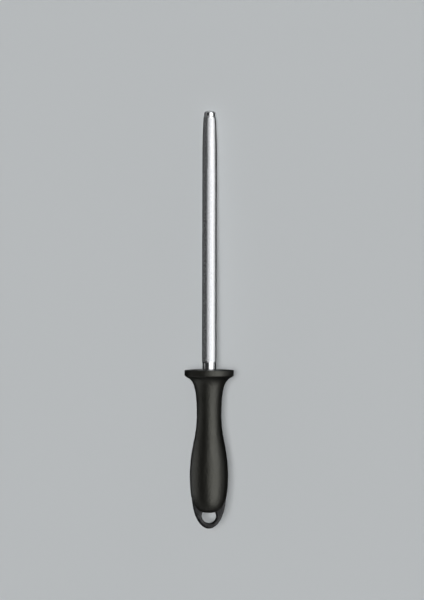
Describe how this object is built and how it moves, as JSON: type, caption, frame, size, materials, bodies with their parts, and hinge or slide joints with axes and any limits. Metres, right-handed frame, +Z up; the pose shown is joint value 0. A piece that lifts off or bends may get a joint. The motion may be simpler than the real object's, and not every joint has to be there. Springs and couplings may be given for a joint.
{
  "type": "knife sharpening steel",
  "caption": "Round chromed sharpening rod with fine lengthwise ribs in a black moulded handle with a round guard and a flat hanging eye.",
  "frame": {"origin": "on the surface the tool lies on, under its axis, halfway between the tip and the end of the hanging tab", "axes": "+Y along the tool towards the rod's tip, +Z up, +X across the tool; the axis drops 4.1 degrees towards the tip, because the tool rests on its guard and on the end of the rod"},
  "size_m": [0.0382, 0.3228, 0.0399],
  "materials": {
    "chromed_steel": "hard chrome, finely ribbed lengthwise, polished at the tip and at the guard",
    "core_plastic": "black, fine satin grain",
    "grip_plastic": "black, fine satin grain, slightly warm"
  },
  "bodies": {
    "root": {"steel_rod": "chromed_steel", "handle_core": "core_plastic", "handle_grip": "grip_plastic"}
  },
  "joints": []
}
